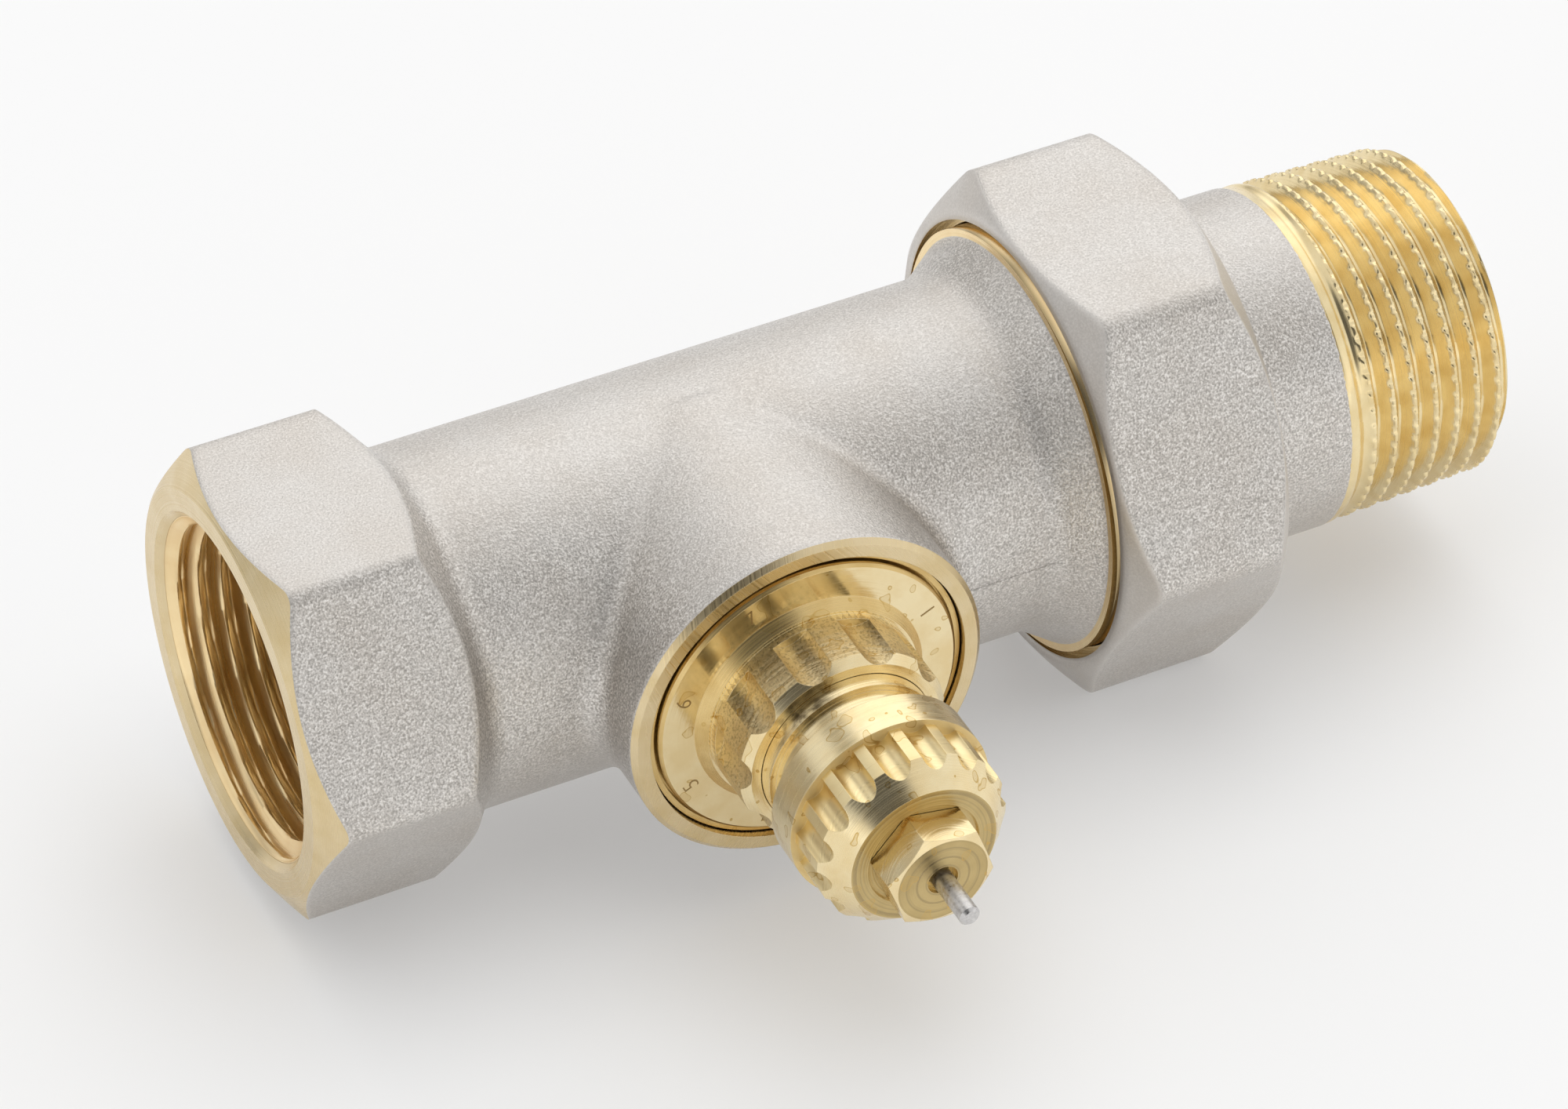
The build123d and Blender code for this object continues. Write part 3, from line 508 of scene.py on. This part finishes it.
def round_mesh(name, rows, columns, radius_at, sharp=35.0):
    """Closed skin round the flow axis: rows of (x, radius), with no radius where it is threaded."""
    points, faces = [], []
    for x, radius in rows:
        for column in range(columns):
            angle = 2 * pi * column / columns
            r = radius_at(x, angle, column) if radius is None else radius
            points.append((x, r * cos(angle), r * sin(angle)))
    for row in range(len(rows)):
        this, following = row * columns, (row + 1) % len(rows) * columns
        for column in range(columns):
            aside = (column + 1) % columns
            faces.append((this + column, following + column, following + aside, this + aside))
    mesh = bpy.data.meshes.new(name)
    mesh.from_pydata(points, [], faces)
    mesh.shade_smooth()
    mesh.set_sharp_from_angle(angle=radians(sharp))
    return add_object(name, mesh)


def held(value, low, high):
    return min(max(value, low), high)


def thread_depth(x, angle):
    """0 at the thread's crest, 1 at its root, for a right-hand thread."""
    phase = (x / PITCH - angle / (2 * pi)) % 1.0
    flank = abs(phase - 0.5) * 2
    return held((flank - 0.12) / 0.74, 0.0, 1.0)


def tail():
    """Tailpiece with its taper thread; the crests are notched to hold the sealing hemp."""
    notches, columns_each = 62, 8
    notch_cut = (0.24, 0.24, 0.10, 0.0, 0.0, 0.0, 0.0, 0.10)
    crest_r = 16.95 * MM
    taper = 1 / 32
    run_in_start, run_in_length = THREAD_X + 0.5 * MM, 1.2 * PITCH
    end_chamfer, end_length = 1.2 * MM, 0.8 * MM

    def radius_at(x, angle, column):
        crest = crest_r - (x - THREAD_X) * taper
        run_in = held((x - run_in_start) / run_in_length, 0.12, 1.0)
        run_out = held((TAIL_END - x) / end_length, 0.0, 1.0)
        depth = thread_depth(x, angle)
        r = crest - THREAD_HEIGHT * depth * run_in
        if depth < 0.2 and run_in > 0.6:
            r = min(r, crest - notch_cut[column % columns_each] * MM)
        return min(r, crest - end_chamfer * (1 - run_out))

    nose_r, nose_root_r = 13.2 * MM, 15.4 * MM
    flange_x = BODY_END + 0.1 * MM
    clear_of_nut = NUT_END + 3.0 * MM
    edge = 0.1 * MM
    bore_chamfer = 0.5 * MM
    rows = [
        (TAIL_START, TAIL_BORE_R),
        (TAIL_START, nose_r),
        (flange_x, nose_root_r),
        (flange_x, FLANGE_R),
        (NUT_SHOULDER_X, FLANGE_R),
        (NUT_SHOULDER_X, TAIL_R),
        (clear_of_nut, TAIL_R),
        (THREAD_X - 1.2 * edge, TAIL_R),
        (THREAD_X, TAIL_R - edge),
    ]
    count = int((TAIL_END - THREAD_X) / (PITCH / 16))
    rows += [(THREAD_X + (TAIL_END - THREAD_X) * i / count, None) for i in range(1, count + 1)]
    rows += [(TAIL_END, TAIL_BORE_R + bore_chamfer), (TAIL_END - bore_chamfer, TAIL_BORE_R)]
    piece = round_mesh("tailpiece_threaded", rows, notches * columns_each, radius_at)
    piece.data.materials.append(TAIL)
    piece.data.materials.append(PORT_BRASS)
    bare_r = 13.0 * MM
    for face in piece.data.polygons:
        x, y, z = face.center
        face.material_index = int(sqrt(y * y + z * z) < bare_r or x < NUT_SHOULDER_X)
    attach(piece, "tail")
    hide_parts("tailpiece")


def inlet_thread():
    """Thread ridges in the inlet bore, cut back by the countersunk mouth."""
    start, end = 0.72 * MM, 15.4 * MM
    mouth_r = 17.32 * MM
    root_r, back_r = PIPE_R - 0.1 * MM, PIPE_R - 0.02 * MM

    def radius_at(x, angle, column):
        r = root_r - THREAD_HEIGHT * (1 - thread_depth(x, angle))
        return held(r, mouth_r - x, root_r)

    count = int((end - start) / (PITCH / 14))
    rows = [(start + (end - start) * i / count, None) for i in range(count + 1)]
    rows += [(end, back_r), (start, back_r)]
    piece = round_mesh("inlet_thread", rows, 240, radius_at)
    piece.data.flip_normals()
    piece.data.materials.append(BORE_BRASS)
    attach(piece, "valve")


def dial_numbers():
    """Plain numbers stamped round the dial, drawn as thin raised shapes whose dark colour is painted
    shade for the stamped recesses.
    """
    for number in NUMBERS:
        angle = radians(FIRST_NUMBER_ANGLE - NUMBER_STEP * (number - 1))
        curve = bpy.data.curves.new(f"dial_curve_{number}", "FONT")
        curve.body = str(number)
        curve.size = NUMBER_SIZE
        curve.offset = NUMBER_THINNING
        curve.align_x, curve.align_y = "CENTER", "CENTER"
        curve.extrude = NUMBER_RELIEF
        text = bpy.data.objects.new(f"dial_text_{number}", curve)
        mesh = bpy.data.meshes.new_from_object(text)
        bpy.data.objects.remove(text)
        outward = Vector((cos(angle), 0, sin(angle)))
        across = Vector((sin(angle), 0, -cos(angle)))
        proud = Vector((0, -1, 0))
        centre = Vector((INSERT_X, -RIM_T, 0)) + outward * NUMBER_R
        for vertex in mesh.vertices:
            x, y, z = vertex.co
            vertex.co = centre + across * x + outward * y + proud * (z + NUMBER_LIFT)
        mesh.materials.append(NUMBER_SHADE)
        piece = add_object(f"dial_number_{number}", mesh)
        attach(piece, "presetting")


def spring():
    """Return spring, copied with a mesh of its own and hung on the presetting body."""
    piece = add_object("return_spring_coil", nodes["return_spring"].data.copy())
    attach(piece, "presetting")
    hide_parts("return_spring")
    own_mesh(piece)


tail()
inlet_thread()
dial_numbers()
spring()


# Studio


def lobe(tree, direction, towards, inner, outer):
    """1 around one direction of the dome, 0 away from it; the limits are cosines."""
    nearness = dot(tree, direction, Vector(towards).normalized())
    return ramp(tree, nearness, outer, inner, shape="SMOOTHSTEP")


def sky(tree):
    """Studio dome: a glow at the back right, dim at the back horizon and around the camera."""
    direction = put(tree, "ShaderNodeTexCoord").outputs["Generated"]
    _, y, z = put(tree, "ShaderNodeSeparateXYZ", {0: direction}).outputs
    horizon = ramp(tree, y, -0.6, 0.6, FRONT_HORIZON, BACK_HORIZON)
    height = ramp(tree, z, 0.02, 0.5, shape="SMOOTHSTEP")
    rise = maths(tree, "MULTIPLY", height, maths(tree, "SUBTRACT", OVERHEAD, horizon))
    strength = maths(tree, "ADD", horizon, rise)
    glow = maths(tree, "MULTIPLY", lobe(tree, direction, *GLOW), GLOW_STRENGTH)
    strength = maths(tree, "ADD", strength, glow)
    for spot, left in DIM_SPOTS:
        dim = maths(tree, "MULTIPLY", lobe(tree, direction, *spot), 1.0 - left)
        strength = maths(tree, "MULTIPLY", strength, maths(tree, "SUBTRACT", 1.0, dim))
    return put(tree, "ShaderNodeBackground", {"Color": WHITE, "Strength": strength}).outputs[0]


def floor_white(tree):
    """Matt white that keeps the shadow, lifted towards white where it is seen or mirrored."""
    normal = put(tree, "ShaderNodeNewGeometry").outputs["Normal"]
    matt = surface(tree, MATT_WHITE, 1.0, normal, 0.0)
    white = put(tree, "ShaderNodeEmission", {"Color": WHITE, "Strength": 1.0}).outputs[0]
    rays = put(tree, "ShaderNodeLightPath").outputs
    seen = maths(tree, "ADD", rays["Is Camera Ray"], rays["Is Glossy Ray"])
    seen = maths(tree, "MINIMUM", maths(tree, "ADD", seen, rays["Is Transmission Ray"]), 1.0)
    lifted = maths(tree, "MULTIPLY", seen, FLOOR_LIFT)
    return put(tree, "ShaderNodeMixShader", {0: lifted, 1: matt, 2: white}).outputs[0]


def add_floor():
    """Pale floor under the part."""
    low, high, z = -FLOOR_HALF, FLOOR_HALF, cad_box[0][2]
    mesh = bpy.data.meshes.new("floor")
    corners = [(low, low, z), (high, low, z), (high, high, z), (low, high, z)]
    mesh.from_pydata(corners, [], [(0, 1, 2, 3)])
    mesh.materials.append(new_material("floor_white", floor_white))
    floor = add_object("floor", mesh)


def add_light():
    """The dome and one soft lamp above the part."""
    world = bpy.data.worlds.new("studio")
    world.use_nodes = True
    world.node_tree.nodes.clear()
    put(world.node_tree, "ShaderNodeOutputWorld", {"Surface": sky(world.node_tree)})
    bpy.context.scene.world = world

    light = bpy.data.lights.new("top_light", "AREA")
    light.size = LAMP_SIZE
    light.energy = LAMP_POWER
    lamp = add_object("top_light", light)
    lamp.location = LAMP_PLACE
    lamp.rotation_euler = (LOOK_AT - LAMP_PLACE).to_track_quat("-Z", "Y").to_euler()
    lamp.visible_glossy = False


def add_camera():
    """Camera at the photograph's angle."""
    view = bpy.data.cameras.new("camera")
    view.lens = LENS
    view.sensor_width = SENSOR
    view.clip_start = 0.01
    camera = add_object("camera", view)
    turn, tip = radians(AZIMUTH), radians(ELEVATION)
    back = Vector((sin(turn) * cos(tip), -cos(turn) * cos(tip), sin(tip)))
    camera.location = LOOK_AT + back * DISTANCE
    camera.rotation_euler = (pi / 2 - tip, 0, turn)
    bpy.context.scene.camera = camera


bpy.context.scene.view_settings.view_transform = "Standard"
add_floor()
add_light()
add_camera()
